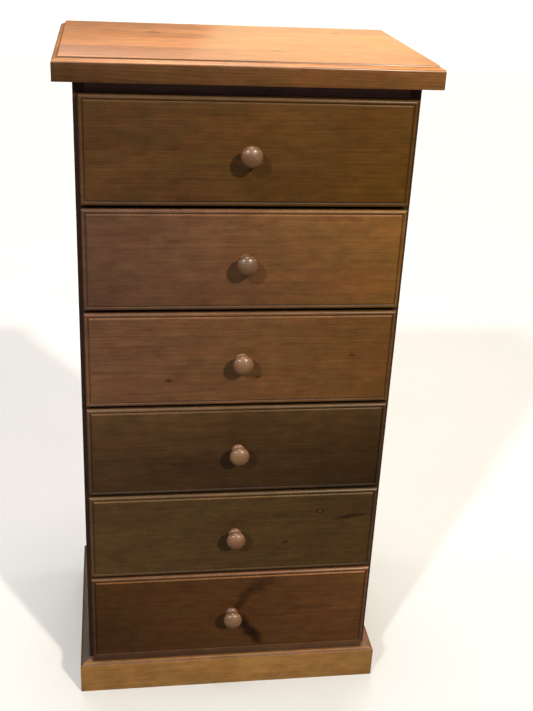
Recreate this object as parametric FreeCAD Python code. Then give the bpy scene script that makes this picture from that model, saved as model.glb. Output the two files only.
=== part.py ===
import FreeCAD, Part
import math
import os

# Tall chest of six drawers, in millimetres. X runs along the width, Y from front to back, Z up.
# The origin is on the floor, in the middle of the box that the chest fills with its drawers shut.

# Top board
HEIGHT = 1200.0
TOP_WIDTH = 600.0
TOP_DEPTH = 395.0
TOP_THICKNESS = 36.0
TOP_OGEE = 4.7  # radius of each of the two curves in the moulding along an edge

# Carcass
CARCASS_WIDTH = 541.0
PANEL = 18.0  # thickness of the side panels and of the rails
RAIL_DEPTH = 45.0
TOP_RAIL_HEIGHT = 22.0
BACK_RAIL_HEIGHT = 60.0
BACK_THICKNESS = 6.0
BACK_REBATE = 9.0
BACK_FLOOR_GAP = 20.0
BACK_FIT = 0.5
RUNNER_WIDTH = 20.0

# Plinth
PLINTH_HEIGHT = 65.5
PLINTH_SIDE = 17.0  # thickness of the two side boards
PLINTH_OGEE = 2.9

# Drawer fronts, which lie over the front edges of the carcass
DRAWERS = 6
FACE_SETBACK = 3.0  # from the front edge of the top back to the faces of the drawers
FRONT_WIDTH = 527.5
FRONT_THICKNESS = 20.0
FRONT_OGEE = 5.3
FRONT_PITCH = 177.2
FRONT_GAP = 3.5
UPPER_FRONT_TOP = 1147.0
LOWER_FRONT_BOTTOM = 67.0
CLOSING_GAP = 0.5

# Drawer boxes
SIDE_PLAY = 1.5
RUNNING_GAP = 0.3
BOX_LENGTH = 340.0
BOX_HEIGHT = 145.0
BOX_SIDE = 12.0
BOX_BACK_DROP = 6.0  # the back board ends this far below the sides
BOTTOM_THICKNESS = 4.0
BOTTOM_LIFT = 10.0
GROOVE_DEPTH = 5.0
GROOVE_FIT = 0.2

# Turned knobs
KNOB_REACH = 33.0
KNOB_RADIUS = 17.5
KNOB_HALF_HEAD = 11.0
KNOB_EDGE_ROUND = 8.0  # radius of the head's edge; flatter domes join it in front and behind
KNOB_NECK = 7.5
KNOB_NECK_HEIGHT = 6.5
KNOB_FOOT = 12.0
KNOB_FOOT_HEIGHT = 3.2
KNOB_FOOT_ROUND = 1.4
LOWER_KNOB_RISE = 6.0  # the bottom knob sits this far above the middle of its taller front

# Countersunk wood screws: shank radius, head radius, length
KNOB_SCREW = (2.0, 4.0, 36.0)
BACK_SCREW = (1.5, 3.2, 22.0)
SCREW_FIT = 0.1
RECESS_WIDTH = 1.0
RECESS_DEPTH = 1.2
SIDE_SCREWS = 7
TOP_SCREWS = 4
SCREW_INSET = 4.5
SCREW_END_MARGIN = 45.0
TOP_SCREW_DROP = 16.0

# Planes worked out from the sizes above
BACK_Y = (TOP_DEPTH + KNOB_REACH - FACE_SETBACK) / 2
TOP_FRONT_Y = BACK_Y - TOP_DEPTH
FACE_Y = TOP_FRONT_Y + FACE_SETBACK
BOX_Y = FACE_Y + FRONT_THICKNESS
CARCASS_Y = BOX_Y + CLOSING_GAP
RAIL_BACK_Y = CARCASS_Y + RAIL_DEPTH
BACK_PANEL_Y = BACK_Y - BACK_THICKNESS
TOP_UNDERSIDE = HEIGHT - TOP_THICKNESS
OUTER_X = CARCASS_WIDTH / 2
INNER_X = OUTER_X - PANEL
BOX_X = INNER_X - SIDE_PLAY
FRONT_HEIGHT = FRONT_PITCH - FRONT_GAP
LOWER_RAIL_TOP = LOWER_FRONT_BOTTOM + 21.0
ROOT_HALF = math.sqrt(0.5)
OVERRUN = 5.0  # how far one extrusion runs past the other where two are intersected

Vector = FreeCAD.Vector
UPRIGHT = Vector(0, 0, 1)


def save(name, shape):
    shape.exportStep("parts/" + name + ".step")


def block(low, high):
    size = [high[i] - low[i] for i in range(3)]
    return Part.makeBox(size[0], size[1], size[2], Vector(*low))


def moulding(edge, inward, radius):
    """One moulded edge, from the face out to the edge: a hollow quarter round, then a full one."""
    def at(across, down):
        return (edge + inward * across * radius, down * radius)
    hollow = (at(1 + ROOT_HALF, ROOT_HALF), at(1, 1))
    full = (at(1 - ROOT_HALF, 2 - ROOT_HALF), at(0, 2))
    return at(2, 0), hollow, full


def board_outline(low, high, thickness, radius, low_moulded):
    """Section of a board whose high edge is moulded: a start, then lines (end) and arcs (middle, end)."""
    start, hollow, full = moulding(high, -1, radius)
    steps = [hollow, full, ((high, thickness),), ((low, thickness),)]
    if not low_moulded:
        return start, steps + [((low, 0),), (start,)]
    face, low_hollow, low_full = moulding(low, 1, radius)
    steps += [(low_full[1],), (low_full[0], low_hollow[1]), (low_hollow[0], face), (start,)]
    return start, steps


def outline_face(outline, place):
    """The face inside an outline; place turns its two coordinates into a point in space."""
    here, steps = outline
    edges = []
    for step in steps:
        points = [place(*here)] + [place(*point) for point in step]
        if len(step) == 2:
            edges.append(Part.Arc(*points).toShape())
        else:
            edges.append(Part.makeLine(*points))
        here = step[-1]
    return Part.Face(Part.Wire(edges))


def extruded(outline, place, along):
    return outline_face(outline, place).extrude(along)


def plan_prism(points, height):
    corners = [Vector(x, y, 0) for x, y in points]
    return Part.Face(Part.makePolygon(corners + corners[:1])).extrude(UPRIGHT * height)


# ---- screws ----

def screw_profile(shank, head, length, fit):
    """Half section of a countersunk screw along its axis: radius, then distance below the surface."""
    shank += fit
    head += fit
    taper = head - shank
    tip = length + fit
    return [(0, 0), (head, 0), (shank, taper), (shank, tip - 2 * shank), (0, tip)]


def turned(profile, centre):
    """Turns a half section about the axis through centre that runs from back to front."""
    points = [centre + Vector(radius, -depth, 0) for radius, depth in profile]
    outline = Part.makePolygon(points + points[:1])
    return Part.Face(outline).revolve(centre, Vector(0, 1, 0), 360)


def screw(sizes, centre):
    shank, head, length = sizes
    body = turned(screw_profile(shank, head, length, 0), centre)
    reach = head * 0.6
    half = RECESS_WIDTH / 2
    for wide, tall in ((reach, half), (half, reach)):
        low = centre + Vector(-wide, -RECESS_DEPTH, -tall)
        high = centre + Vector(wide, 0, tall)
        body = body.cut(block(low, high))
    return body


def screw_hole(sizes, centre):
    shank, head, length = sizes
    return turned(screw_profile(shank, head, length, SCREW_FIT), centre)


def back_screw_centres():
    """Down both sides of the back panel, and along the rail at its top."""
    low = BACK_FLOOR_GAP + SCREW_END_MARGIN
    rise = (TOP_UNDERSIDE - SCREW_END_MARGIN - low) / (SIDE_SCREWS - 1)
    edge = INNER_X + SCREW_INSET
    sides = [(side * edge, low + i * rise) for side in (-1, 1) for i in range(SIDE_SCREWS)]
    spread = 2 * INNER_X / (TOP_SCREWS + 1)
    tops = [(-INNER_X + spread * (i + 1), TOP_UNDERSIDE - TOP_SCREW_DROP) for i in range(TOP_SCREWS)]
    return [Vector(x, BACK_Y, z) for x, z in sides + tops]


# ---- carcass ----

def rail_tops():
    """Top faces of the rails that the drawers run on, from drawer 1 at the top down."""
    first_gap = UPPER_FRONT_TOP - FRONT_HEIGHT - FRONT_GAP / 2
    dividers = [first_gap - i * FRONT_PITCH + PANEL / 2 for i in range(DRAWERS - 1)]
    return dividers + [LOWER_RAIL_TOP]


def make_top():
    """Moulded along the front and both ends; the two extrusions meet in mitred mouldings."""
    along_width = extruded(
        board_outline(-BACK_Y, -TOP_FRONT_Y, TOP_THICKNESS, TOP_OGEE, False),
        lambda u, v: Vector(-TOP_WIDTH / 2 - OVERRUN, -u, HEIGHT - v),
        Vector(TOP_WIDTH + 2 * OVERRUN, 0, 0))
    along_depth = extruded(
        board_outline(-TOP_WIDTH / 2, TOP_WIDTH / 2, TOP_THICKNESS, TOP_OGEE, True),
        lambda u, v: Vector(u, TOP_FRONT_Y, HEIGHT - v), Vector(0, TOP_DEPTH, 0))
    save("top_panel", along_width.common(along_depth))


def make_side_panels(holes):
    rebate_y = BACK_PANEL_Y
    rebate_x = INNER_X + BACK_REBATE
    for name, side in (("left", -1), ("right", 1)):
        xs = sorted((side * INNER_X, side * OUTER_X))
        panel = block((xs[0], CARCASS_Y, 0), (xs[1], BACK_Y, TOP_UNDERSIDE))
        cut = sorted((side * INNER_X, side * rebate_x))
        panel = panel.cut(block((cut[0], rebate_y, 0), (cut[1], BACK_Y, TOP_UNDERSIDE)))
        save(name + "_side_panel", panel.cut(holes))


def make_back(holes):
    half = INNER_X + BACK_REBATE - BACK_FIT
    panel = block((-half, BACK_PANEL_Y, BACK_FLOOR_GAP), (half, BACK_Y, TOP_UNDERSIDE))
    save("back_panel", panel.cut(holes))
    rail_low = (-INNER_X, BACK_PANEL_Y - PANEL, TOP_UNDERSIDE - BACK_RAIL_HEIGHT)
    rail = block(rail_low, (INNER_X, BACK_PANEL_Y, TOP_UNDERSIDE))
    save("top_back_rail", rail.cut(holes))


def make_front_rails():
    def rail(bottom, top):
        return block((-INNER_X, CARCASS_Y, bottom), (INNER_X, RAIL_BACK_Y, top))
    save("top_front_rail", rail(TOP_UNDERSIDE - TOP_RAIL_HEIGHT, TOP_UNDERSIDE))
    tops = rail_tops()
    for number, top in enumerate(tops[:-1], 1):
        save("divider_rail_%d" % number, rail(top - PANEL, top))
    save("bottom_front_rail", rail(tops[-1] - PANEL, tops[-1]))


def make_runners():
    for name, side in (("left", -1), ("right", 1)):
        xs = sorted((side * INNER_X, side * (INNER_X - RUNNER_WIDTH)))
        strips = [block((xs[0], RAIL_BACK_Y, top - PANEL), (xs[1], BACK_PANEL_Y, top)) for top in rail_tops()]
        save(name + "_runners", Part.makeCompound(strips))


def make_plinth():
    """Three boards planted on the foot of the carcass, mitred where the mouldings meet."""
    outer = OUTER_X + PLINTH_SIDE
    mitre_y = TOP_FRONT_Y + PLINTH_SIDE
    front_section = board_outline(-CARCASS_Y, -TOP_FRONT_Y, PLINTH_HEIGHT, PLINTH_OGEE, False)
    front = extruded(front_section, lambda u, v: Vector(-outer - OVERRUN, -u, PLINTH_HEIGHT - v),
                     Vector(2 * (outer + OVERRUN), 0, 0))
    half_plan = [(outer, TOP_FRONT_Y), (OUTER_X, mitre_y), (OUTER_X, CARCASS_Y)]
    plan = half_plan + [(-x, y) for x, y in reversed(half_plan)]
    save("plinth_front", front.common(plan_prism(plan, PLINTH_HEIGHT)))
    side_section = board_outline(OUTER_X, outer, PLINTH_HEIGHT, PLINTH_OGEE, False)
    side_plan = [(outer, TOP_FRONT_Y), (outer, BACK_Y), (OUTER_X, BACK_Y), (OUTER_X, mitre_y)]
    for name, side in (("left", -1), ("right", 1)):
        board = extruded(
            side_section, lambda u, v: Vector(side * u, TOP_FRONT_Y - OVERRUN, PLINTH_HEIGHT - v),
            Vector(0, TOP_DEPTH + 2 * OVERRUN, 0))
        plan = [(side * x, y) for x, y in side_plan]
        save("plinth_" + name, board.common(plan_prism(plan, PLINTH_HEIGHT)))


def make_carcass():
    centres = back_screw_centres()
    holes = Part.makeCompound([screw_hole(BACK_SCREW, centre) for centre in centres])
    make_top()
    make_side_panels(holes)
    make_back(holes)
    make_front_rails()
    make_runners()
    make_plinth()
    save("back_panel_screws", Part.makeCompound([screw(BACK_SCREW, centre) for centre in centres]))


# ---- drawers ----

def front_span(number):
    """Bottom and top of a drawer front; the lowest one is taller than the rest."""
    top = UPPER_FRONT_TOP - (number - 1) * FRONT_PITCH
    if number == DRAWERS:
        return LOWER_FRONT_BOTTOM, top
    return top - FRONT_HEIGHT, top


def knob_height(number):
    bottom, top = front_span(number)
    rise = LOWER_KNOB_RISE if number == DRAWERS else 0
    return (bottom + top) / 2 + rise


def make_front(number, box_bottom, hole):
    """An overlay front, moulded all round, with a groove behind for the bottom board."""
    bottom, top = front_span(number)
    middle = (bottom + top) / 2
    half = FRONT_WIDTH / 2
    half_height = (top - bottom) / 2
    level = extruded(
        board_outline(-half_height, half_height, FRONT_THICKNESS, FRONT_OGEE, True),
        lambda u, v: Vector(-half - OVERRUN, FACE_Y + v, middle + u),
        Vector(FRONT_WIDTH + 2 * OVERRUN, 0, 0))
    upright = extruded(
        board_outline(-half, half, FRONT_THICKNESS, FRONT_OGEE, True),
        lambda u, v: Vector(u, FACE_Y + v, bottom), Vector(0, 0, top - bottom))
    groove_x = BOX_X - BOX_SIDE + GROOVE_DEPTH
    groove = block((-groove_x, BOX_Y - GROOVE_DEPTH, box_bottom + BOTTOM_LIFT),
                   (groove_x, BOX_Y, box_bottom + BOTTOM_LIFT + BOTTOM_THICKNESS + GROOVE_FIT))
    save("drawer_%d_front" % number, level.common(upright).cut(groove).cut(hole))


def make_box(number, box_bottom):
    """Two grooved sides, a back board standing on the bottom board, and the bottom board itself."""
    back_y = BOX_Y + BOX_LENGTH
    side_inner = BOX_X - BOX_SIDE
    bottom_low = box_bottom + BOTTOM_LIFT
    bottom_high = bottom_low + BOTTOM_THICKNESS + GROOVE_FIT
    box_top = box_bottom + BOX_HEIGHT
    for name, side in (("left", -1), ("right", 1)):
        xs = sorted((side * side_inner, side * BOX_X))
        board = block((xs[0], BOX_Y, box_bottom), (xs[1], back_y, box_top))
        groove_xs = sorted((side * side_inner, side * (side_inner + GROOVE_DEPTH)))
        groove = block((groove_xs[0], BOX_Y, bottom_low), (groove_xs[1], back_y, bottom_high))
        save("drawer_%d_%s_side" % (number, name), board.cut(groove))
    back = block((-side_inner, back_y - BOX_SIDE, bottom_high), (side_inner, back_y, box_top - BOX_BACK_DROP))
    save("drawer_%d_back" % number, back)
    half = side_inner + GROOVE_DEPTH - GROOVE_FIT
    front_y = BOX_Y - GROOVE_DEPTH + GROOVE_FIT
    low = bottom_low + GROOVE_FIT / 2
    bottom = block((-half, front_y, low), (half, back_y, low + BOTTOM_THICKNESS))
    save("drawer_%d_bottom" % number, bottom)


def knob_head():
    """Arcs of the head, from the neck over the edge to the tip: small ones at the edge, large domes."""
    inset = KNOB_RADIUS - KNOB_EDGE_ROUND
    drop = KNOB_HALF_HEAD - KNOB_EDGE_ROUND
    offset = (inset ** 2 - drop ** 2) / (2 * drop)
    dome = KNOB_HALF_HEAD + offset
    middle = KNOB_REACH - KNOB_HALF_HEAD
    join = math.atan2(offset, inset)
    neck = math.acos(KNOB_NECK / dome)

    def on_dome(angle, side):
        return (dome * math.cos(angle), middle + side * (dome * math.sin(angle) - offset))
    neck_end = on_dome(neck, -1)
    back = (on_dome((neck + join) / 2, -1), on_dome(join, -1))
    edge = ((KNOB_RADIUS, middle), on_dome(join, 1))
    front = (on_dome((join + math.pi / 2) / 2, 1), (0, KNOB_REACH))
    return neck_end, [back, edge, front]


def knob_outline():
    """Half section of a knob: a rounded foot, a hollow neck and a flattened ball for a head."""
    corner = KNOB_FOOT_ROUND * (1 - ROOT_HALF)
    foot_side = (KNOB_FOOT, KNOB_FOOT_HEIGHT - KNOB_FOOT_ROUND)
    foot_middle = (KNOB_FOOT - corner, KNOB_FOOT_HEIGHT - corner)
    foot_top = (KNOB_FOOT - KNOB_FOOT_ROUND, KNOB_FOOT_HEIGHT)
    hollow_middle = (KNOB_NECK + 0.9, (KNOB_FOOT_HEIGHT + KNOB_NECK_HEIGHT) / 2)
    neck_end, head = knob_head()
    steps = [((KNOB_FOOT, 0),), (foot_side,), (foot_middle, foot_top)]
    steps += [(hollow_middle, (KNOB_NECK, KNOB_NECK_HEIGHT)), (neck_end,)]
    return (0, 0), steps + head + [((0, 0),)]


def make_knob(number, hole):
    height = knob_height(number)
    section = outline_face(knob_outline(), lambda radius, reach: Vector(radius, FACE_Y - reach, height))
    solid = section.revolve(Vector(0, FACE_Y, height), Vector(0, 1, 0), 360)
    save("drawer_%d_knob" % number, solid.cut(hole))


def make_drawer(number, rail_top):
    box_bottom = rail_top + RUNNING_GAP
    screw_centre = Vector(0, BOX_Y, knob_height(number))
    hole = screw_hole(KNOB_SCREW, screw_centre)
    make_front(number, box_bottom, hole)
    make_box(number, box_bottom)
    make_knob(number, hole)
    save("drawer_%d_knob_screw" % number, screw(KNOB_SCREW, screw_centre))


os.makedirs("parts", exist_ok=True)
make_carcass()
for drawer, rail_top in enumerate(rail_tops(), 1):
    make_drawer(drawer, rail_top)
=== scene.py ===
import math

import bmesh
import bpy
from mathutils import Matrix, Vector


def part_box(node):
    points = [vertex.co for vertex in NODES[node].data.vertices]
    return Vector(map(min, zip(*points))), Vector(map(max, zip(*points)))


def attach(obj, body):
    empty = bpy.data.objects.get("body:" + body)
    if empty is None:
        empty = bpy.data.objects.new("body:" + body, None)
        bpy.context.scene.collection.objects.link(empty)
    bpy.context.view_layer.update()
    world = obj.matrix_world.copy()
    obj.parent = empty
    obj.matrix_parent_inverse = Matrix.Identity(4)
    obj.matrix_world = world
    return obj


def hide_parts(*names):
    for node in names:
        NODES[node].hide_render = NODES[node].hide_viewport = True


# Looks for the tall chest of six drawers. Lengths are in metres unless a name says otherwise.
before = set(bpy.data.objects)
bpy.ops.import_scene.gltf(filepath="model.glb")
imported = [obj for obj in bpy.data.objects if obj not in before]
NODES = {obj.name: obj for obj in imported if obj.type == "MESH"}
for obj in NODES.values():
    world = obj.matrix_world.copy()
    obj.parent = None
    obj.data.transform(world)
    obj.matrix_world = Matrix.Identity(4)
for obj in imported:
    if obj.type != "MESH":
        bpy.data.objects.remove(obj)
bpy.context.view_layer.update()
DRAWERS = range(1, 7)

# Moulded edges: radius of the hollow and of the full curve beside it
TOP_OGEE = 0.0047
PLINTH_OGEE = 0.0029

# Moulding of the drawer fronts: a groove round the flat field, then a rounded rim
FRONT_MARGIN = 0.001  # clearance worn and sanded off all round
FIELD_INSET = 0.009
GROOVE_INSET = 0.0074
GROOVE_DEPTH = 0.0021
RIM_INSET = 0.0048
RIM_DEPTH = 0.0009
EDGE_DEPTH = 0.0052
LOWEST_RIM_EXTRA = 0.0105  # the lowest front has a taller rim along its bottom

ARC_STEPS = 8
ARRIS = 0.0005  # worn round on the sharp edges of moulded boards
CORNER = 0.0009  # worn round on their mitred corners
CORNER_STEPS = 3
ARRIS_STEPS = 3
SHARP_ANGLE = math.radians(38)

# Knobs
KNOB_SEGMENTS = 72
KNOB_RADIUS = 0.0175
KNOB_REACH = 0.033
KNOB_HALF_HEAD = 0.011
KNOB_EDGE_ROUND = 0.008
KNOB_NECK = 0.0075
KNOB_NECK_HEIGHT = 0.0065
KNOB_FOOT = 0.012
KNOB_FOOT_HEIGHT = 0.0032
KNOB_FOOT_ROUND = 0.0014
KNOB_NECK_HOLLOW = 0.0009  # how far the middle of the neck's curve stands out from its narrow end
KNOB_ROUND_STEPS = 16
KNOB_STEPS = 8
KNOB_TIP_STEPS = 12

# Countersunk hole for the knob's screw
HOLE_HEAD = 0.0041
HOLE_SHANK = 0.0021
HOLE_DEPTH = 0.012
HOLE_STEPS = 24


# ---- shader building ----

def srgb(text):
    """Linear colour of a hexadecimal one."""
    parts = [int(text[i:i + 2], 16) / 255 for i in (0, 2, 4)]
    linear = [p / 12.92 if p <= 0.04045 else ((p + 0.055) / 1.055) ** 2.4 for p in parts]
    return (*linear, 1.0)


class Shading:
    """A material's node tree, with one short call for each kind of node."""

    def __init__(self, name):
        self.material = bpy.data.materials.new(name)
        self.material.use_nodes = True
        self.tree = self.material.node_tree
        self.tree.nodes.clear()

    def node(self, kind, inputs, **settings):
        made = self.tree.nodes.new("ShaderNode" + kind)
        for name, value in settings.items():
            setattr(made, name, value)
        for key, value in inputs.items():
            if isinstance(value, bpy.types.NodeSocket):
                self.tree.links.new(value, made.inputs[key])
            else:
                made.inputs[key].default_value = value
        return made

    def math(self, operation, a, b=0.0, c=0.0):
        return self.node("Math", {0: a, 1: b, 2: c}, operation=operation).outputs[0]

    def centred(self, value, amount):
        """A value of 0 to 1, moved to lie about zero and made as strong as amount."""
        return self.math("MULTIPLY", self.math("SUBTRACT", value, 0.5), amount)

    def varied(self, gain, value, amount):
        """gain made stronger or weaker by a value of 0 to 1."""
        return self.math("MULTIPLY", gain, self.math("ADD", 1.0, self.centred(value, amount)))

    def spread(self, value, low, high, start=0.0, end=1.0, smooth=True):
        """Maps value from low..high to start..end, clamped."""
        kind = "SMOOTHSTEP" if smooth else "LINEAR"
        return self.node(
            "MapRange", {"Value": value, "From Min": low, "From Max": high, "To Min": start, "To Max": end},
            interpolation_type=kind).outputs[0]

    def scaled(self, vector, scale, shift=(0.0, 0.0, 0.0)):
        return self.node("VectorMath", {0: vector, 1: scale, 2: shift}, operation="MULTIPLY_ADD").outputs[0]

    def noise(self, vector, scale, detail=2.0, roughness=0.5, distortion=0.0):
        return self.node("TexNoise", {"Vector": vector, "Scale": scale, "Detail": detail,
                                      "Roughness": roughness, "Distortion": distortion}).outputs["Fac"]

    def mix(self, factor, a, b, blend="MIX"):
        made = self.tree.nodes.new("ShaderNodeMix")
        made.data_type = "RGBA"
        made.blend_type = blend
        for key, value in ((0, factor), (6, a), (7, b)):
            if isinstance(value, bpy.types.NodeSocket):
                self.tree.links.new(value, made.inputs[key])
            else:
                made.inputs[key].default_value = value
        return made.outputs[2]

    def grey(self, value):
        return self.node("CombineColor", {0: value, 1: value, 2: value}).outputs[0]

    def finish(self, shader):
        self.node("OutputMaterial", {"Surface": shader})
        return self.material


AXIS = {"X": 0, "Y": 1, "Z": 2}
GREYED_WOOD = srgb("57463c")
KNOT_CORE = srgb("5a3016")
KNOT_BARK = srgb("1d0f07")

# What a colour is multiplied by
LATEWOOD_GAIN = (0.55, 0.47, 0.40, 1.0)
STAIN_GAIN = (0.22, 0.17, 0.15, 1.0)
# painted warm light drift across the drawer fronts
WARM_LIGHT_GAIN = (1.0, 0.93, 0.35, 1.0)
# painted cool reflection, for the shaded edges of the top
EDGE_REFLECTION_GAIN = (1.0, 1.1, 1.5, 1.0)
CASTS = ((1.05, 0.98, 0.95, 1.0), (0.96, 1.01, 0.94, 1.0))


def board_coordinates(s, along, across, middle):
    """Object coordinates turned so that X runs with the grain, Y across the board and Z through it."""
    place = s.node("TexCoord", {}).outputs["Object"]
    split = s.node("SeparateXYZ", {0: place}).outputs
    through = ({"X", "Y", "Z"} - {along, across}).pop()
    parts = [s.math("SUBTRACT", split[AXIS[a]], middle[AXIS[a]]) for a in (along, across, through)]
    return parts


def patch_field(s, u, v, wander, spot):
    """Distance from the middle of an ellipse, in units of its half sizes, with a ragged outline."""
    u0, v0, half_length, half_width, angle = spot
    turn = math.radians(angle)
    du = s.math("SUBTRACT", u, u0)
    dv = s.math("SUBTRACT", v, v0)
    along = s.math("ADD", s.math("MULTIPLY", du, math.cos(turn) / half_length),
                   s.math("MULTIPLY", dv, math.sin(turn) / half_length))
    across = s.math("ADD", s.math("MULTIPLY", du, -math.sin(turn) / half_width),
                    s.math("MULTIPLY", dv, math.cos(turn) / half_width))
    square = s.math("ADD", s.math("MULTIPLY", along, along), s.math("MULTIPLY", across, across))
    return s.math("ADD", s.math("SQRT", square), wander)


def wood(name, tint, along, across, middle=(0, 0, 0), seed=0.0, board=0.11, joint=0.05,
         ring=0.5, fibre=0.35, blotch=0.5, tone=0.25, spacing=0.0036, pith=0.07, knots=(), stains=(),
         half_size=None, moulding=0.0, roughness=0.36, gloss=0.25, coat=0.0, coat_roughness=0.2,
         bump=1.0, end_dark=0.45, streaks=0.5, slant=0.0, rise=0.0, rim=1.0, edge_shade_slant=0.0,
         warm_light_drift=0.0, foot=0.0, gap_shade_depth=None, worn=0.2, ledge=0.0, ledge_tint="5a3a30", painted_top_highlight=0.0):
    """Stained and varnished pine, made of boards glued edge to edge."""
    s = Shading(name)
    u, v, w = board_coordinates(s, along, across, middle)

    # which glued board, and numbers that differ from board to board
    shifted = s.math("ADD", v, -joint)
    index = s.math("FLOOR", s.math("DIVIDE", shifted, board))
    luck = s.node("TexWhiteNoise", {"W": s.math("ADD", index, seed)},
                  noise_dimensions="1D").outputs["Color"]
    luck = s.node("SeparateColor", {0: luck}).outputs
    local = s.math("SUBTRACT", shifted, s.math("MULTIPLY", s.math("ADD", index, 0.5), board))
    side = s.math("SUBTRACT", luck[1], 0.5)

    place = s.node("CombineXYZ", {0: u, 1: v, 2: w}).outputs[0]
    shift = s.node("CombineXYZ", {0: s.math("MULTIPLY", luck[0], 3.0), 1: seed,
                                  2: s.math("MULTIPLY", luck[2], 2.0)})
    place = s.node("VectorMath", {0: place, 1: shift.outputs[0]}, operation="ADD").outputs[0]

    # knots push the rings aside
    swirl = None
    for u0, v0, size, strength in knots:
        d = patch_field(s, u, v, 0.0, (u0, v0, size * 4.5, size * 2.2, 0.0))
        push = s.math("MULTIPLY", s.spread(d, 0.0, 1.0, 1.0, 0.0), size * 1.4)
        swirl = push if swirl is None else s.math("ADD", swirl, push)

    # growth rings: distance from a pith that lies behind the board and wanders along it
    slow = s.noise(s.scaled(place, (1.3, 5.0, 5.0)), 1.0, 2.0)
    mild = s.noise(s.scaled(place, (5.0, 22.0, 22.0)), 1.0, 2.0)
    centre = s.math("MULTIPLY", side, 0.11)
    dv = s.math("ADD", s.math("SUBTRACT", local, centre), s.centred(slow, 0.06))
    dw = s.math("ADD", w, pith)
    radius = s.math("SQRT", s.math("ADD", s.math("MULTIPLY", dv, dv), s.math("MULTIPLY", dw, dw)))
    radius = s.math("ADD", radius, s.centred(mild, 0.010))
    radius = s.math("ADD", radius, s.math("MULTIPLY", u, 0.012))
    if swirl is not None:
        radius = s.math("ADD", radius, swirl)
    phase = s.math("FRACT", s.math("DIVIDE", radius, spacing))
    late = s.math("MULTIPLY", s.spread(phase, 0.25, 0.86), s.spread(phase, 0.9, 1.0, 1.0, 0.0))
    ring_luck = s.node("TexWhiteNoise", {"W": s.math("FLOOR", s.math("DIVIDE", radius, spacing))},
                       noise_dimensions="1D").outputs["Value"]
    late = s.math("MULTIPLY", late, s.spread(ring_luck, 0.0, 1.0, 0.45, 1.0, False))

    # fibres, resin streaks and uneven stain
    fine = s.noise(s.scaled(place, (14.0, 900.0, 900.0)), 1.0, 3.0, 0.6)
    coarse = s.noise(s.scaled(place, (5.0, 160.0, 160.0)), 1.0, 3.0, 0.55)
    middling = s.noise(s.scaled(place, (22.0, 380.0, 380.0), (6.0, 2.0, 5.0)), 1.0, 3.0, 0.65)
    streak_noise = s.noise(s.scaled(place, (26.0, 620.0, 620.0), (3.1, 7.7, 1.3)), 1.0, 1.0)
    streak = s.spread(streak_noise, 0.66, 0.76)
    mottle = s.noise(s.scaled(place, (32.0, 60.0, 60.0), (2.0, 6.0, 3.0)), 1.0, 4.0, 0.65)
    stain = s.noise(s.scaled(place, (7.0, 13.0, 13.0), (9.0, 2.0, 4.0)), 1.0, 3.0, 0.55)
    cloud = s.noise(s.scaled(place, (2.2, 4.0, 4.0), (1.0, 5.0, 8.0)), 1.0, 1.0)

    plain = srgb(tint)
    latewood = tuple(part * gain for part, gain in zip(plain, LATEWOOD_GAIN))
    colour = s.mix(s.math("MULTIPLY", late, ring), plain, latewood)
    gain = s.math("ADD", 1.0, s.centred(fine, fibre))
    gain = s.varied(gain, coarse, fibre * 1.3)
    gain = s.varied(gain, stain, blotch)
    gain = s.varied(gain, cloud, blotch)
    gain = s.varied(gain, luck[0], tone)
    gain = s.math("MULTIPLY", gain, s.math("SUBTRACT", 1.0, s.math("MULTIPLY", streak, streaks * 0.35)))
    gain = s.varied(gain, mottle, blotch * 1.8)
    gain = s.varied(gain, middling, fibre * 1.3)

    # painted light: slant and rise make the board brighter or darker across it and up it, as uneven lamp
    # light would
    if slant or rise:
        painted_light_drift = s.math("ADD", s.math("MULTIPLY", u, slant), s.math("MULTIPLY", v, rise))
        gain = s.math("MULTIPLY", gain, s.math("ADD", 1.0, painted_light_drift))

    # painted shade: the edges of the drawer fronts, behind their rims, are darkened as the gaps between the
    # drawers shade them
    if gap_shade_depth:
        gain = s.math("MULTIPLY", gain, s.spread(w, gap_shade_depth * 0.9, gap_shade_depth * 1.2, 1.0, 0.2))

    # the glue lines between boards
    edge = s.math("SUBTRACT", board / 2, s.math("ABSOLUTE", local))
    gain = s.math("MULTIPLY", gain, s.spread(edge, 0.0, 0.0005, 0.78, 1.0))

    # end grain drinks more stain
    normal = s.node("TexCoord", {}).outputs["Normal"]
    facing = s.math("ABSOLUTE", s.node("SeparateXYZ", {0: normal}).outputs[AXIS[along]])
    end = s.spread(facing, 0.6, 0.95)
    gain = s.math("MULTIPLY", gain, s.math("SUBTRACT", 1.0, s.math("MULTIPLY", end, end_dark)))

    # painted shade and cool reflection: faces that don't face through the board, such as the top's moulded
    # edges, are made darker and bluer, darker still towards the left
    if rim < 1:
        through = ({"X", "Y", "Z"} - {along, across}).pop()
        level = s.math("ABSOLUTE", s.node("SeparateXYZ", {0: normal}).outputs[AXIS[through]])
        dark = s.math("ADD", rim, s.math("MULTIPLY", u, edge_shade_slant))
        gain = s.math("MULTIPLY", gain, s.spread(level, 0.25, 0.85, dark, 1.0))
        colour = s.mix(s.spread(level, 0.25, 0.85, 1.0, 0.0), colour,
                       s.mix(1.0, colour, EDGE_REFLECTION_GAIN, "MULTIPLY"))

    # painted shade: faces that look up, such as the plinth's ledges, are mixed towards a darker ledge
    # colour, the shade cast by the chest above
    up = s.node("SeparateXYZ", {0: normal}).outputs[AXIS[across]]
    upward = s.spread(up, 0.5, 0.95, 0.0, ledge)

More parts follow.
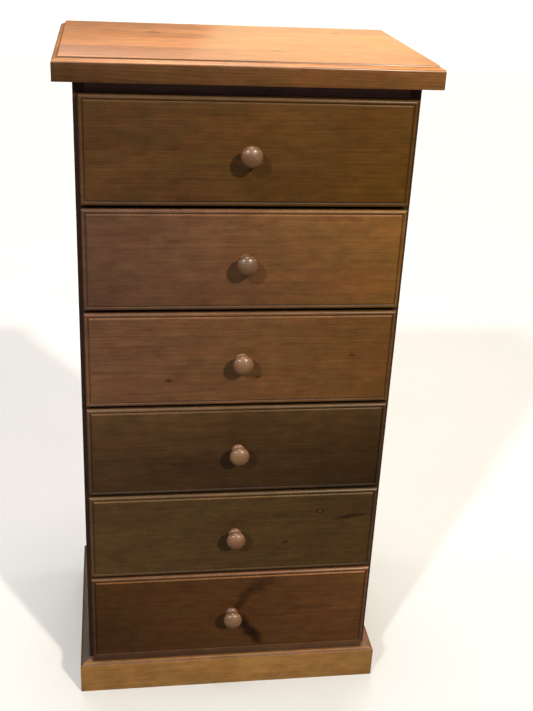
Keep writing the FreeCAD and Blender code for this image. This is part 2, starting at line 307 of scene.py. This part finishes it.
    # stain gathers in the hollow of the moulding, deepened there with painted shade, and its outer curve
    # has gone grey
    greyed = 0.0
    if half_size:
        inset = s.math("MINIMUM", s.math("SUBTRACT", half_size[0], s.math("ABSOLUTE", u)),
                       s.math("MINIMUM", s.math("SUBTRACT", half_size[1], v),
                              s.math("ADD", half_size[1] - foot, v)))
        hollow = s.math("MULTIPLY", s.spread(inset, moulding, moulding * 1.2),
                        s.spread(inset, moulding * 1.35, moulding * 1.5, 1.0, 0.0))
        # painted highlight: the up-facing parts of the moulding are brightened, as light from above would
        # catch them
        arris = s.math("MULTIPLY", s.spread(inset, moulding * 1.35, moulding * 1.5, painted_top_highlight * 0.6, painted_top_highlight),
                       s.spread(up, 0.15, 0.6))
        gain = s.math("MULTIPLY", gain, s.math("ADD", 1.0, arris))
        greyed = s.spread(inset, moulding * 0.9, moulding * 1.1, worn, 0.0)
        gain = s.math("MULTIPLY", gain, s.math("SUBTRACT", 1.0, s.math("MULTIPLY", hollow, 0.42)))

    line = s.math("MULTIPLY", s.spread(phase, 0.86, 0.94), s.spread(phase, 0.94, 1.0, 1.0, 0.0))
    line = s.math("MULTIPLY", line, s.spread(ring_luck, 0.78, 0.8))
    gain = s.math("MULTIPLY", gain, s.math("ADD", 1.0, s.math("MULTIPLY", line, 0.16)))
    colour = s.mix(greyed, colour, GREYED_WOOD)
    colour = s.mix(upward, colour, srgb(ledge_tint))
    colour = s.mix(1.0, colour, s.grey(gain), "MULTIPLY")
    hue = s.noise(s.scaled(place, (16.0, 30.0, 30.0), (4.0, 1.0, 7.0)), 1.0, 3.0, 0.6)
    cast = s.mix(s.spread(hue, 0.35, 0.65), *CASTS)
    colour = s.mix(1.0, colour, cast, "MULTIPLY")
    # painted reflection: the fronts turn warmer towards the right, leaving a cool sheen on their left side
    if warm_light_drift:
        colour = s.mix(s.spread(u, -0.26, 0.26, 0.0, warm_light_drift, False), colour,
                       s.mix(1.0, colour, WARM_LIGHT_GAIN, "MULTIPLY"))
    wander = s.centred(s.noise(s.scaled(place, (30.0, 60.0, 60.0)), 1.0, 3.0), 0.9)
    for u0, v0, half_length, half_width, angle, strength in stains:
        field = patch_field(s, u, v, wander, (u0, v0, half_length, half_width, angle))
        mask = s.math("MULTIPLY", s.spread(field, 0.25, 1.15, 1.0, 0.0), strength)
        colour = s.mix(mask, colour, s.mix(1.0, colour, STAIN_GAIN, "MULTIPLY"))
    for u0, v0, size, strength in knots:
        field = patch_field(s, u, v, s.math("MULTIPLY", wander, 0.5), (u0, v0, size * 1.25, size, 0.0))
        bark = s.math("MULTIPLY", s.spread(field, 0.55, 0.95), s.spread(field, 1.0, 1.5, 1.0, 0.0))
        core = s.spread(field, 0.6, 1.05, 1.0, 0.0)
        colour = s.mix(s.math("MULTIPLY", core, strength * 0.6), colour, KNOT_CORE)
        colour = s.mix(s.math("MULTIPLY", bark, strength), colour, KNOT_BARK)

    # varnish: satin, a little duller where the fibres and blotches lie
    haze = s.noise(s.scaled(place, (9.0, 14.0, 14.0), (5.0, 5.0, 5.0)), 1.0, 4.0, 0.6)
    rough = s.math("ADD", roughness, s.centred(haze, 0.22))
    rough = s.math("ADD", rough, s.centred(fine, 0.12))
    rough = s.math("ADD", rough, s.math("MULTIPLY", end, 0.15))
    height = s.math("ADD", s.math("MULTIPLY", fine, 0.30), s.math("MULTIPLY", coarse, 0.7))
    height = s.math("SUBTRACT", height, s.math("MULTIPLY", late, 0.35))
    height = s.math("ADD", height, s.math("MULTIPLY", haze, 1.2))
    relief = s.node("Bump", {"Height": height, "Distance": 0.00012 * bump, "Strength": 0.8})
    shader = s.node("BsdfPrincipled", {
        "Base Color": colour, "Roughness": rough, "Normal": relief.outputs[0], "IOR": 1.48,
        "Specular IOR Level": gloss, "Coat Weight": coat, "Coat Roughness": coat_roughness})
    return s.finish(shader.outputs[0])


def steel(name):
    """Zinc plated screw steel, dulled and finely scratched."""
    s = Shading(name)
    place = s.node("TexCoord", {}).outputs["Object"]
    grain = s.noise(s.scaled(place, (900.0, 900.0, 900.0)), 1.0, 3.0)
    cloud = s.noise(s.scaled(place, (260.0, 260.0, 260.0)), 1.0, 2.0)
    colour = s.mix(s.spread(cloud, 0.3, 0.7), srgb("b9b3a4"), srgb("8c8677"))
    colour = s.mix(s.spread(grain, 0.6, 0.75, 0.0, 0.6), colour, srgb("5d584d"))
    relief = s.node("Bump", {"Height": grain, "Distance": 0.00004, "Strength": 0.6})
    shader = s.node("BsdfPrincipled", {
        "Base Color": colour, "Metallic": 1.0, "Roughness": s.spread(grain, 0.2, 0.8, 0.28, 0.5),
        "Normal": relief.outputs[0]})
    return s.finish(shader.outputs[0])


# ---- geometry ----

def rectangle_ring(low, high, radius, place):
    """Points round a rectangle with rounded corners; place turns (across, up) into a point in space."""
    points = []
    middles = ((high[0] - radius, high[1] - radius), (low[0] + radius, high[1] - radius),
               (low[0] + radius, low[1] + radius), (high[0] - radius, low[1] + radius))
    for corner, (across, up) in enumerate(middles):
        for step in range(CORNER_STEPS + 1):
            angle = math.radians(90 * (corner + step / CORNER_STEPS))
            points.append(place(across + radius * math.cos(angle), up + radius * math.sin(angle)))
    return points


def ogee(radius):
    """Inset and depth from the flat field of a board out over its moulding to the edge."""
    points = []
    for step in range(ARRIS_STEPS + 1):
        angle = math.radians(90 * step / ARRIS_STEPS)
        points.append((2 * radius + ARRIS * (1 - math.sin(angle)), ARRIS * (1 - math.cos(angle))))
    start = math.asin(ARRIS / radius)
    for step in range(1, ARC_STEPS + 1):
        angle = start + (math.pi / 2 - start) * step / ARC_STEPS
        points.append((radius * (1 + math.cos(angle)), radius * math.sin(angle)))
    for step in range(1, ARC_STEPS + 1):
        angle = math.pi / 2 * step / ARC_STEPS
        points.append((radius * (1 - math.sin(angle)), radius * (2 - math.cos(angle))))
    return points


def grooved_rim():
    """Inset and depth from the flat field of a drawer front over its groove and rounded rim to the edge."""
    points = []
    for step in range(ARRIS_STEPS + 1):
        angle = math.radians(90 * step / ARRIS_STEPS)
        points.append((FIELD_INSET + ARRIS * (1 - math.sin(angle)), ARRIS * (1 - math.cos(angle))))
    for step in range(1, ARC_STEPS + 1):
        angle = math.pi / 2 * step / ARC_STEPS
        points.append((GROOVE_INSET + (FIELD_INSET - GROOVE_INSET) * (1 - math.sin(angle)),
                       ARRIS + (GROOVE_DEPTH - ARRIS) * (1 - math.cos(angle))))
    for step in range(1, ARC_STEPS + 1):
        part = step / ARC_STEPS
        points.append((GROOVE_INSET + (RIM_INSET - GROOVE_INSET) * part,
                       RIM_DEPTH + (GROOVE_DEPTH - RIM_DEPTH) * (1 + math.cos(math.pi * part)) / 2))
    for step in range(1, ARC_STEPS + 1):
        angle = math.pi / 2 * step / ARC_STEPS
        points.append((RIM_INSET * (1 - math.sin(angle)),
                       RIM_DEPTH + (EDGE_DEPTH - RIM_DEPTH) * (1 - math.cos(angle))))
    return points


def rounded_back(thickness):
    """Inset and depth over the arris at the back of a board."""
    steps = [math.radians(90 * i / ARRIS_STEPS) for i in range(ARRIS_STEPS + 1)]
    return [(ARRIS * (1 - math.cos(a)), thickness - ARRIS * (1 - math.sin(a))) for a in steps]


def joined_rings(bm, rings):
    """Quads between closed rings with equal numbers of points; returns the rings' vertices."""
    made = [[bm.verts.new(point) for point in ring] for ring in rings]
    for one, two in zip(made, made[1:]):
        for i in range(len(one)):
            j = (i + 1) % len(one)
            bm.faces.new((one[i], one[j], two[j], two[i]))
    return made


def piece_from(name, bm, body, node, material):
    bmesh.ops.recalc_face_normals(bm, faces=bm.faces)
    mesh = bpy.data.meshes.new(name)
    bm.to_mesh(mesh)
    bm.free()
    mesh.polygons.foreach_set("use_smooth", [True] * len(mesh.polygons))
    mesh.set_sharp_from_angle(angle=SHARP_ANGLE)
    mesh.materials.append(material)
    piece = bpy.data.objects.new(name, mesh)
    bpy.context.scene.collection.objects.link(piece)
    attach(piece, body)
    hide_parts(node)
    NODES[node].hide_render = True
    return piece


def drawer_front(number, material):
    """Moulded all round, with the countersunk hole of the knob's screw in its back."""
    node = "drawer_%d_front" % number
    low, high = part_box(node)
    knob_low, knob_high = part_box("drawer_%d_knob" % number)
    thickness = high.y - low.y
    profile = [(inset + FRONT_MARGIN, depth) for inset, depth in grooved_rim() + rounded_back(thickness)]
    rings = []
    for inset, depth in profile:
        extra = LOWEST_RIM_EXTRA if number == DRAWERS[-1] and inset >= FRONT_MARGIN + RIM_INSET else 0
        rings.append(rectangle_ring(
            (low.x + inset, low.z + inset + extra), (high.x - inset, high.z - inset), CORNER,
            lambda x, z, y=low.y + depth: (x, y, z)))
    bm = bmesh.new()
    made = joined_rings(bm, rings)
    bm.faces.new(made[0])
    centre = Vector((0, high.y, (knob_low.z + knob_high.z) / 2))
    hole = []
    for radius, depth in ((HOLE_HEAD, 0), (HOLE_SHANK, HOLE_HEAD - HOLE_SHANK), (HOLE_SHANK, HOLE_DEPTH)):
        turns = [math.tau * i / HOLE_STEPS for i in range(HOLE_STEPS)]
        hole.append([centre + Vector((radius * math.cos(t), -depth, radius * math.sin(t))) for t in turns])
    sunk = joined_rings(bm, hole)
    bm.faces.new(sunk[-1])
    bm.edges.ensure_lookup_table()
    rims = [e for e in bm.edges if len(e.link_faces) == 1]
    bmesh.ops.triangle_fill(bm, use_beauty=True, use_dissolve=False, edges=rims)
    return piece_from("chest_drawer_%d_front" % number, bm, "drawer_%d" % number, node,
                      material)


def top_board(material):
    """Moulded along the front and both ends; its back edge is only eased."""
    low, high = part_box("top_panel")
    thickness = high.z - low.z
    rings = []
    for inset, depth in ogee(TOP_OGEE) + rounded_back(thickness):
        rings.append(rectangle_ring(
            (low.x + inset, low.y + inset), (high.x - inset, high.y), CORNER,
            lambda x, y, z=high.z - depth: (x, y, z)))
    bm = bmesh.new()
    made = joined_rings(bm, rings)
    bm.faces.new(made[0])
    bm.faces.new(made[-1])
    return piece_from("chest_top", bm, "carcass", "top_panel", material)


def plinth_section(low, high, height):
    """Outline of a plinth board: across from its outer face inwards, then up."""
    points = [(high, 0.0)]
    for step in range(ARRIS_STEPS + 1):
        angle = math.radians(90 * step / ARRIS_STEPS)
        points.append((low + ARRIS * (1 - math.sin(angle)), ARRIS * (1 - math.cos(angle))))
    profile = [(low + inset, height - depth) for inset, depth in reversed(ogee(PLINTH_OGEE))]
    return points + profile + [(high, height)]


def swept(bm, section, ends, place):
    """A section carried between two ends, whose positions depend on how far across the point lies."""
    rings = []
    for side in (0, 1):
        rings.append([place(across, ends(across)[side], up) for across, up in section])
    made = joined_rings(bm, rings)
    bm.faces.new(made[0])
    bm.faces.new(made[1])


def plinth_board(node, material):
    """Front board with mitred ends, or a side board mitred at its front end."""
    low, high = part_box(node)
    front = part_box("plinth_front")[0]
    outer = -front.x
    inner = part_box("right_side_panel")[1].x
    bm = bmesh.new()
    if node == "plinth_front":
        section = plinth_section(low.y, high.y, high.z)
        mitre = low.y + outer - inner
        split = [(mitre, 0.0), (mitre, high.z)]
        section = section[:1] + split[:1] + section[1:-1] + split[1:] + section[-1:]

        def ends(y):
            reach = max(outer - (y - low.y), inner)
            return -reach, reach
        swept(bm, section, ends, lambda y, x, z: (x, y, z))
    else:
        side = -1 if high.x < 0 else 1
        section = plinth_section(-outer, -inner, high.z)

        def ends(x):
            return low.y + (x + outer), high.y
        swept(bm, section, ends, lambda x, y, z: (-side * x, y, z))
    return piece_from("chest_" + node, bm, "carcass", node, material)


def knob_section():
    """Radius and reach from the foot of a knob, round its head, to the tip."""
    inset = KNOB_RADIUS - KNOB_EDGE_ROUND
    drop = KNOB_HALF_HEAD - KNOB_EDGE_ROUND
    offset = (inset ** 2 - drop ** 2) / (2 * drop)
    dome = KNOB_HALF_HEAD + offset
    middle = KNOB_REACH - KNOB_HALF_HEAD
    join = math.atan2(offset, inset)
    neck = math.acos(KNOB_NECK / dome)
    points = [(KNOB_FOOT, 0.0)]
    for step in range(6):
        angle = math.radians(90 * step / 5)
        points.append((KNOB_FOOT - KNOB_FOOT_ROUND * (1 - math.cos(angle)),
                       KNOB_FOOT_HEIGHT - KNOB_FOOT_ROUND * (1 - math.sin(angle))))
    # the hollow neck, as a curve through its ends and its middle
    foot_end = points[-1]
    neck_points = (foot_end, (KNOB_NECK + KNOB_NECK_HOLLOW, (KNOB_FOOT_HEIGHT + KNOB_NECK_HEIGHT) / 2),
                   (KNOB_NECK, KNOB_NECK_HEIGHT))
    for step in range(1, KNOB_STEPS + 1):
        points.append(on_arc(neck_points, step / KNOB_STEPS))
    points.append((dome * math.cos(neck), middle - (dome * math.sin(neck) - offset)))
    for step in range(1, KNOB_STEPS):
        angle = neck + (join - neck) * step / KNOB_STEPS
        points.append((dome * math.cos(angle), middle - (dome * math.sin(angle) - offset)))
    for step in range(KNOB_ROUND_STEPS + 1):
        angle = -join + 2 * join * step / KNOB_ROUND_STEPS
        points.append((inset + KNOB_EDGE_ROUND * math.cos(angle),
                       middle + KNOB_EDGE_ROUND * math.sin(angle)))
    for step in range(1, KNOB_TIP_STEPS):
        angle = join + (math.pi / 2 - join) * step / KNOB_TIP_STEPS
        points.append((dome * math.cos(angle), middle + (dome * math.sin(angle) - offset)))
    return points


def on_arc(points, part):
    """A point part of the way along the arc through three points."""
    (ax, ay), (bx, by), (cx, cy) = points
    twice = 2 * (ax * (by - cy) + bx * (cy - ay) + cx * (ay - by))
    a2, b2, c2 = ax * ax + ay * ay, bx * bx + by * by, cx * cx + cy * cy
    ox = (a2 * (by - cy) + b2 * (cy - ay) + c2 * (ay - by)) / twice
    oy = (a2 * (cx - bx) + b2 * (ax - cx) + c2 * (bx - ax)) / twice
    start = math.atan2(ay - oy, ax - ox)
    middle = (math.atan2(by - oy, bx - ox) - start) % math.tau
    end = (math.atan2(cy - oy, cx - ox) - start) % math.tau
    turn = end if middle < end else end - math.tau
    angle = start + turn * part
    radius = math.hypot(ax - ox, ay - oy)
    return ox + radius * math.cos(angle), oy + radius * math.sin(angle)


def knob(number, material):
    node = "drawer_%d_knob" % number
    low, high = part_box(node)
    height = (low.z + high.z) / 2
    turns = [math.tau * i / KNOB_SEGMENTS for i in range(KNOB_SEGMENTS)]
    rings = [[(r * math.cos(t), high.y - reach, height + r * math.sin(t)) for t in turns]
             for r, reach in knob_section()]
    bm = bmesh.new()
    made = joined_rings(bm, rings)
    bm.faces.new(made[0])
    tip = bm.verts.new((0, low.y, height))
    last = made[-1]
    for i in range(len(last)):
        bm.faces.new((last[i], last[(i + 1) % len(last)], tip))
    return piece_from("chest_drawer_%d_knob" % number, bm, "drawer_%d" % number, node,
                      material)


def ease(node, width):
    """Rounds the sharp edges of a CAD board."""
    thing = NODES[node]
    weld = thing.modifiers.new("weld", "WELD")
    weld.merge_threshold = 0.000005
    flat = thing.modifiers.new("flat", "DECIMATE")
    flat.decimate_type = "DISSOLVE"
    flat.angle_limit = math.radians(0.5)
    round_ = thing.modifiers.new("round", "BEVEL")
    round_.width = width
    round_.segments = 2
    round_.limit_method = "ANGLE"
    round_.angle_limit = math.radians(40)
    round_.harden_normals = True


def dress(node, material, width=0.0006):
    thing = NODES[node]
    thing.data.materials.clear()
    thing.data.materials.append(material)
    if width:
        ease(node, width)


def middle_of(node):
    low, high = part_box(node)
    return (low + high) / 2


# ---- the chest ----

# each front's look also carries painted light: a highlight on its moulding, brightness drifting across and
# up it, and warmer colour towards its right
FRONT_LOOKS = {
    1: dict(tint="52361c", painted_top_highlight=0.15, joint=0.003, board=0.2, tone=0.12, ring=0.28, warm_light_drift=1.0,
            knots=((0.171, -0.0388, 0.0032, 0.35),)),
    2: dict(tint="634332", painted_top_highlight=0.4, joint=-0.035, board=0.2, tone=0.06, ring=0.22, slant=0.9,
            warm_light_drift=1.0,
            stains=((-0.115, 0.034, 0.030, 0.004, 4.0, 0.2),)),
    3: dict(tint="61412d", painted_top_highlight=0.45, joint=0.045, board=0.2, tone=0.06, ring=0.34, slant=-0.3,
            warm_light_drift=0.85,
            stains=((-0.1235, -0.0376, 0.0075, 0.0030, 0.0, 0.85),
                    (0.0291, -0.0333, 0.0070, 0.0026, 8.0, 0.8),
                    (0.190, 0.0056, 0.0060, 0.0024, 0.0, 0.7))),
    4: dict(tint="3c2917", painted_top_highlight=1.0, joint=-0.01, board=0.2, tone=0.08, ring=0.22, slant=-0.95,
            rise=3.0, warm_light_drift=0.5),
    5: dict(tint="422f19", painted_top_highlight=1.8, joint=0.03, board=0.2, tone=0.08, ring=0.22, slant=-0.6,
            rise=-0.8, warm_light_drift=0.2,
            knots=((0.157, 0.0427, 0.0042, 0.9),),
            stains=((0.215, 0.029, 0.036, 0.0055, 8.0, 0.8), (0.095, -0.0232, 0.008, 0.004, 20.0, 0.6))),
    6: dict(tint="452a13", foot=LOWEST_RIM_EXTRA, painted_top_highlight=2.6, joint=0.06, board=0.2, tone=0.05,
            ring=0.25, slant=1.0, rise=0.8,
            stains=((0.066, 0.077, 0.026, 0.019, 34.0, 0.4), (0.044, 0.064, 0.024, 0.018, 30.0, 0.5),
                    (0.027, 0.047, 0.022, 0.014, 60.0, 0.55), (0.012, 0.022, 0.024, 0.011, 58.0, 0.6),
                    (0.018, -0.016, 0.028, 0.015, -50.0, 0.8), (0.037, -0.040, 0.024, 0.017, -53.0, 0.95),
                    (0.050, -0.058, 0.018, 0.015, -53.0, 0.9))),
}

for number in DRAWERS:
    node = "drawer_%d_front" % number
    low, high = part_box(node)
    half = ((high.x - low.x) / 2, (high.z - low.z) / 2)
    look = wood("front_%d" % number, along="X", across="Z", middle=(0, low.y, (low.z + high.z) / 2),
                seed=11.0 + 3 * number, half_size=half, moulding=FRONT_MARGIN + RIM_INSET,
                gap_shade_depth=EDGE_DEPTH, **FRONT_LOOKS[number])
    drawer_front(number, look)

knob_look = wood("knob", tint="6e4e35", along="Y", across="Z", seed=70.0, board=0.5, joint=-0.25,
                 ring=0.35, fibre=0.3, blotch=0.5, tone=0.0, spacing=0.0021, pith=0.012, end_dark=0.0,
                 roughness=0.3, gloss=0.5, coat=0.2, bump=0.5)
for number in DRAWERS:
    knob(number, knob_look)

top_middle = middle_of("top_panel")
# painted light on the top: shaded, bluer edges, and brighter towards the right
top_board(wood("top", tint="a8692c", rim=0.33, edge_shade_slant=0.33, slant=0.6, along="X", across="Y",
               middle=(0, top_middle.y, 1.2), seed=3.0, board=0.098, joint=0.02, ring=0.6,
               tone=0.22, roughness=0.33, gloss=0.5, coat=0.15,
               knots=((-0.14, 0.08, 0.008, 0.7), (0.19, 0.13, 0.006, 0.6), (0.05, -0.09, 0.005, 0.5))))

plinth_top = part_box("plinth_front")[1].z
plinth = dict(tint="845e33", board=0.5, joint=-0.3, ring=0.4, fibre=0.3, blotch=0.5, tone=0.0, ledge=0.6,
              middle=(0, -0.18, 0.01), half_size=(1.0, plinth_top - 0.01), moulding=PLINTH_OGEE, worn=0.0)
plinth_board("plinth_front", wood("plinth_front", along="X", across="Z", seed=31.0, **plinth))
plinth_board("plinth_right", wood("plinth_right", along="Y", across="Z", seed=37.0, **plinth))
# painted shade: the left plinth's ledge lies in the chest's shadow, so it is painted darker still
plinth.update(ledge=0.92, ledge_tint="241a18")
plinth_board("plinth_left", wood("plinth_left", along="Y", across="Z", seed=38.0, **plinth))

side_look = wood("side_panel", tint="462d21", along="Z", across="Y", seed=41.0, board=0.13,
                 joint=0.03, ring=0.65, tone=0.2,
                 knots=((0.86, -0.09, 0.007, 0.7), (0.42, 0.11, 0.009, 0.7), (0.63, 0.02, 0.005, 0.6)))
for node in ("left_side_panel", "right_side_panel"):
    dress(node, side_look)

rail_look = wood("rail", tint="704c42", along="X", across="Z", seed=47.0, board=0.5, joint=-0.25)
for node in ["top_front_rail", "bottom_front_rail"] + ["divider_rail_%d" % i for i in range(1, 6)]:
    dress(node, rail_look)

box_finish = dict(tint="b88c58", board=0.5, joint=-0.25, ring=0.7, roughness=0.55)
box_side_look = wood("box_side", along="Y", across="Z", seed=53.0, **box_finish)
box_back_look = wood("box_back", along="X", across="Z", seed=59.0, **box_finish)
for node in ("left_runners", "right_runners"):
    dress(node, box_side_look)
dress("top_back_rail", box_back_look)
board_finish = dict(tint="a37c4d", board=0.5, joint=-0.25, ring=0.45, roughness=0.5)
back_look = wood("back_board", along="Z", across="X", seed=61.0, **board_finish)
bottom_look = wood("bottom_board", along="X", across="Y", seed=67.0, **board_finish)
dress("back_panel", back_look, 0.0003)
screw_look = steel("screw")
dress("back_panel_screws", screw_look, 0)
for number in DRAWERS:
    for side in ("left", "right"):
        dress("drawer_%d_%s_side" % (number, side), box_side_look)
    dress("drawer_%d_back" % number, box_back_look)
    dress("drawer_%d_bottom" % number, bottom_look, 0.0003)
    dress("drawer_%d_knob_screw" % number, screw_look, 0)


# ---- floor, light and camera ----

FLOOR_RADIUS = 7.0
FLOOR_BEND = 4.0  # the floor bends up into a round wall
WALL_HEIGHT = 14.0
FLOOR_SEGMENTS = 96
FLOOR_STEPS = 12
FLOOR_CLEARANCE = 0.0002

CAMERA_PLACE = (-0.2146, -1.7634, 1.4574)
CAMERA_TURN = (9.201, -24.889, 2.981)  # yaw, pitch and roll in degrees
CAMERA_LENS = 52.64  # millimetres, for a sensor of 36 mm


def make_floor():
    s = Shading("floor")
    place = s.node("TexCoord", {}).outputs["Object"]
    cloud = s.noise(place, 3.0, 3.0)
    colour = s.mix(cloud, srgb("c6c4c1"), srgb("c0bebb"))
    shader = s.node("BsdfPrincipled", {"Base Color": colour, "Roughness": 0.6})
    bm = bmesh.new()
    turns = [math.tau * i / FLOOR_SEGMENTS for i in range(FLOOR_SEGMENTS)]
    profile = [(FLOOR_RADIUS, 0.0)]
    for step in range(1, FLOOR_STEPS + 1):
        angle = math.pi / 2 * step / FLOOR_STEPS
        profile.append((FLOOR_RADIUS + FLOOR_BEND * math.sin(angle), FLOOR_BEND * (1 - math.cos(angle))))
    profile.append((FLOOR_RADIUS + FLOOR_BEND, WALL_HEIGHT))
    made = joined_rings(bm, [[(r * math.cos(t), r * math.sin(t), z) for t in turns] for r, z in profile])
    bm.faces.new(made[0])
    for face in bm.faces:
        face.normal_update()
        if face.normal.dot(Vector((0, 0, FLOOR_RADIUS)) - face.calc_center_median()) < 0:
            face.normal_flip()
    mesh = bpy.data.meshes.new("floor")
    bm.to_mesh(mesh)
    bm.free()
    mesh.polygons.foreach_set("use_smooth", [True] * len(mesh.polygons))
    mesh.materials.append(s.finish(shader.outputs[0]))
    floor = bpy.data.objects.new("floor", mesh)
    floor.location.z = -FLOOR_CLEARANCE
    floor.visible_diffuse = False
    floor.visible_glossy = False
    floor.visible_shadow = False
    bpy.context.scene.collection.objects.link(floor)


def direction(azimuth, elevation):
    """Towards an azimuth from the front towards the right, and an elevation, both in degrees."""
    a, e = math.radians(azimuth), math.radians(elevation)
    return Vector((math.sin(a) * math.cos(e), -math.cos(a) * math.cos(e), math.sin(e)))


def make_lamp(name, target, azimuth, elevation, distance, size, watts, tint):
    """An area lamp at a distance from target."""
    towards = direction(azimuth, elevation)
    data = bpy.data.lights.new(name, "AREA")
    data.shape = "RECTANGLE"
    data.size, data.size_y = size
    data.energy = watts
    data.color = tint
    lamp = bpy.data.objects.new(name, data)
    lamp.location = Vector(target) + towards * distance
    lamp.rotation_euler = towards.to_track_quat("Z", "Y").to_euler()
    bpy.context.scene.collection.objects.link(lamp)


def make_sun(name, azimuth, elevation, width, strength, tint, shine=True):
    """A far lamp, which lights the floor evenly; width is how wide it looks, in degrees."""
    towards = direction(azimuth, elevation)
    data = bpy.data.lights.new(name, "SUN")
    data.angle = math.radians(width)
    data.energy = strength
    data.color = tint
    sun = bpy.data.objects.new(name, data)
    sun.rotation_euler = towards.to_track_quat("Z", "Y").to_euler()
    sun.visible_glossy = shine
    bpy.context.scene.collection.objects.link(sun)


def make_world():
    world = bpy.data.worlds.new("studio")
    world.use_nodes = True
    background = world.node_tree.nodes["Background"]
    background.inputs["Color"].default_value = (0.93, 0.95, 1.0, 1.0)
    background.inputs["Strength"].default_value = 0.09
    bpy.context.scene.world = world


def make_camera():
    """Above and to the left of the chest, looking down at it."""
    yaw, pitch, roll = (math.radians(angle) for angle in CAMERA_TURN)
    forward = Vector((math.sin(yaw) * math.cos(pitch), math.cos(yaw) * math.cos(pitch),
                      math.sin(pitch)))
    level = Vector((math.cos(yaw), -math.sin(yaw), 0))
    upward = level.cross(forward)
    right = math.cos(roll) * level + math.sin(roll) * upward
    up = math.cos(roll) * upward - math.sin(roll) * level
    data = bpy.data.cameras.new("camera")
    data.lens = CAMERA_LENS
    data.sensor_width = 36
    data.clip_start = 0.05
    camera = bpy.data.objects.new("camera", data)
    camera.matrix_world = Matrix.Translation(CAMERA_PLACE) @ Matrix(
        (right, up, -forward)).transposed().to_4x4()
    bpy.context.scene.collection.objects.link(camera)
    bpy.context.scene.camera = camera


make_floor()
make_sun("key", 30, 36.5, 3, 3.0, (1.0, 0.93, 0.8))
make_sun("second", -36, 36, 3, 1.8, (0.88, 0.94, 1.0))
make_sun("ceiling", 0, 84, 20, 1.5, (1.0, 0.96, 0.9))
make_sun("bounce", -8, -30, 60, 0.25, (1.0, 0.97, 0.94), shine=False)
make_sun("back", 180, 50, 50, 1.6, (1.0, 0.96, 0.92))
make_lamp("above", (0.1, 0.08, 1.2), 180, 84, 0.8, (0.8, 0.5), 5, (1.0, 0.93, 0.8))
make_lamp("glare", (0, 0, 1.2), 165, 12, 3.0, (1.2, 0.9), 4, (1.0, 0.82, 0.5))
make_sun("left side", -97, 25, 20, 0.7, (0.95, 0.97, 1.0))
make_sun("right side", 97, 25, 20, 0.7, (1.0, 0.97, 0.92))
make_world()
make_camera()
bpy.context.scene.view_settings.view_transform = "Standard"
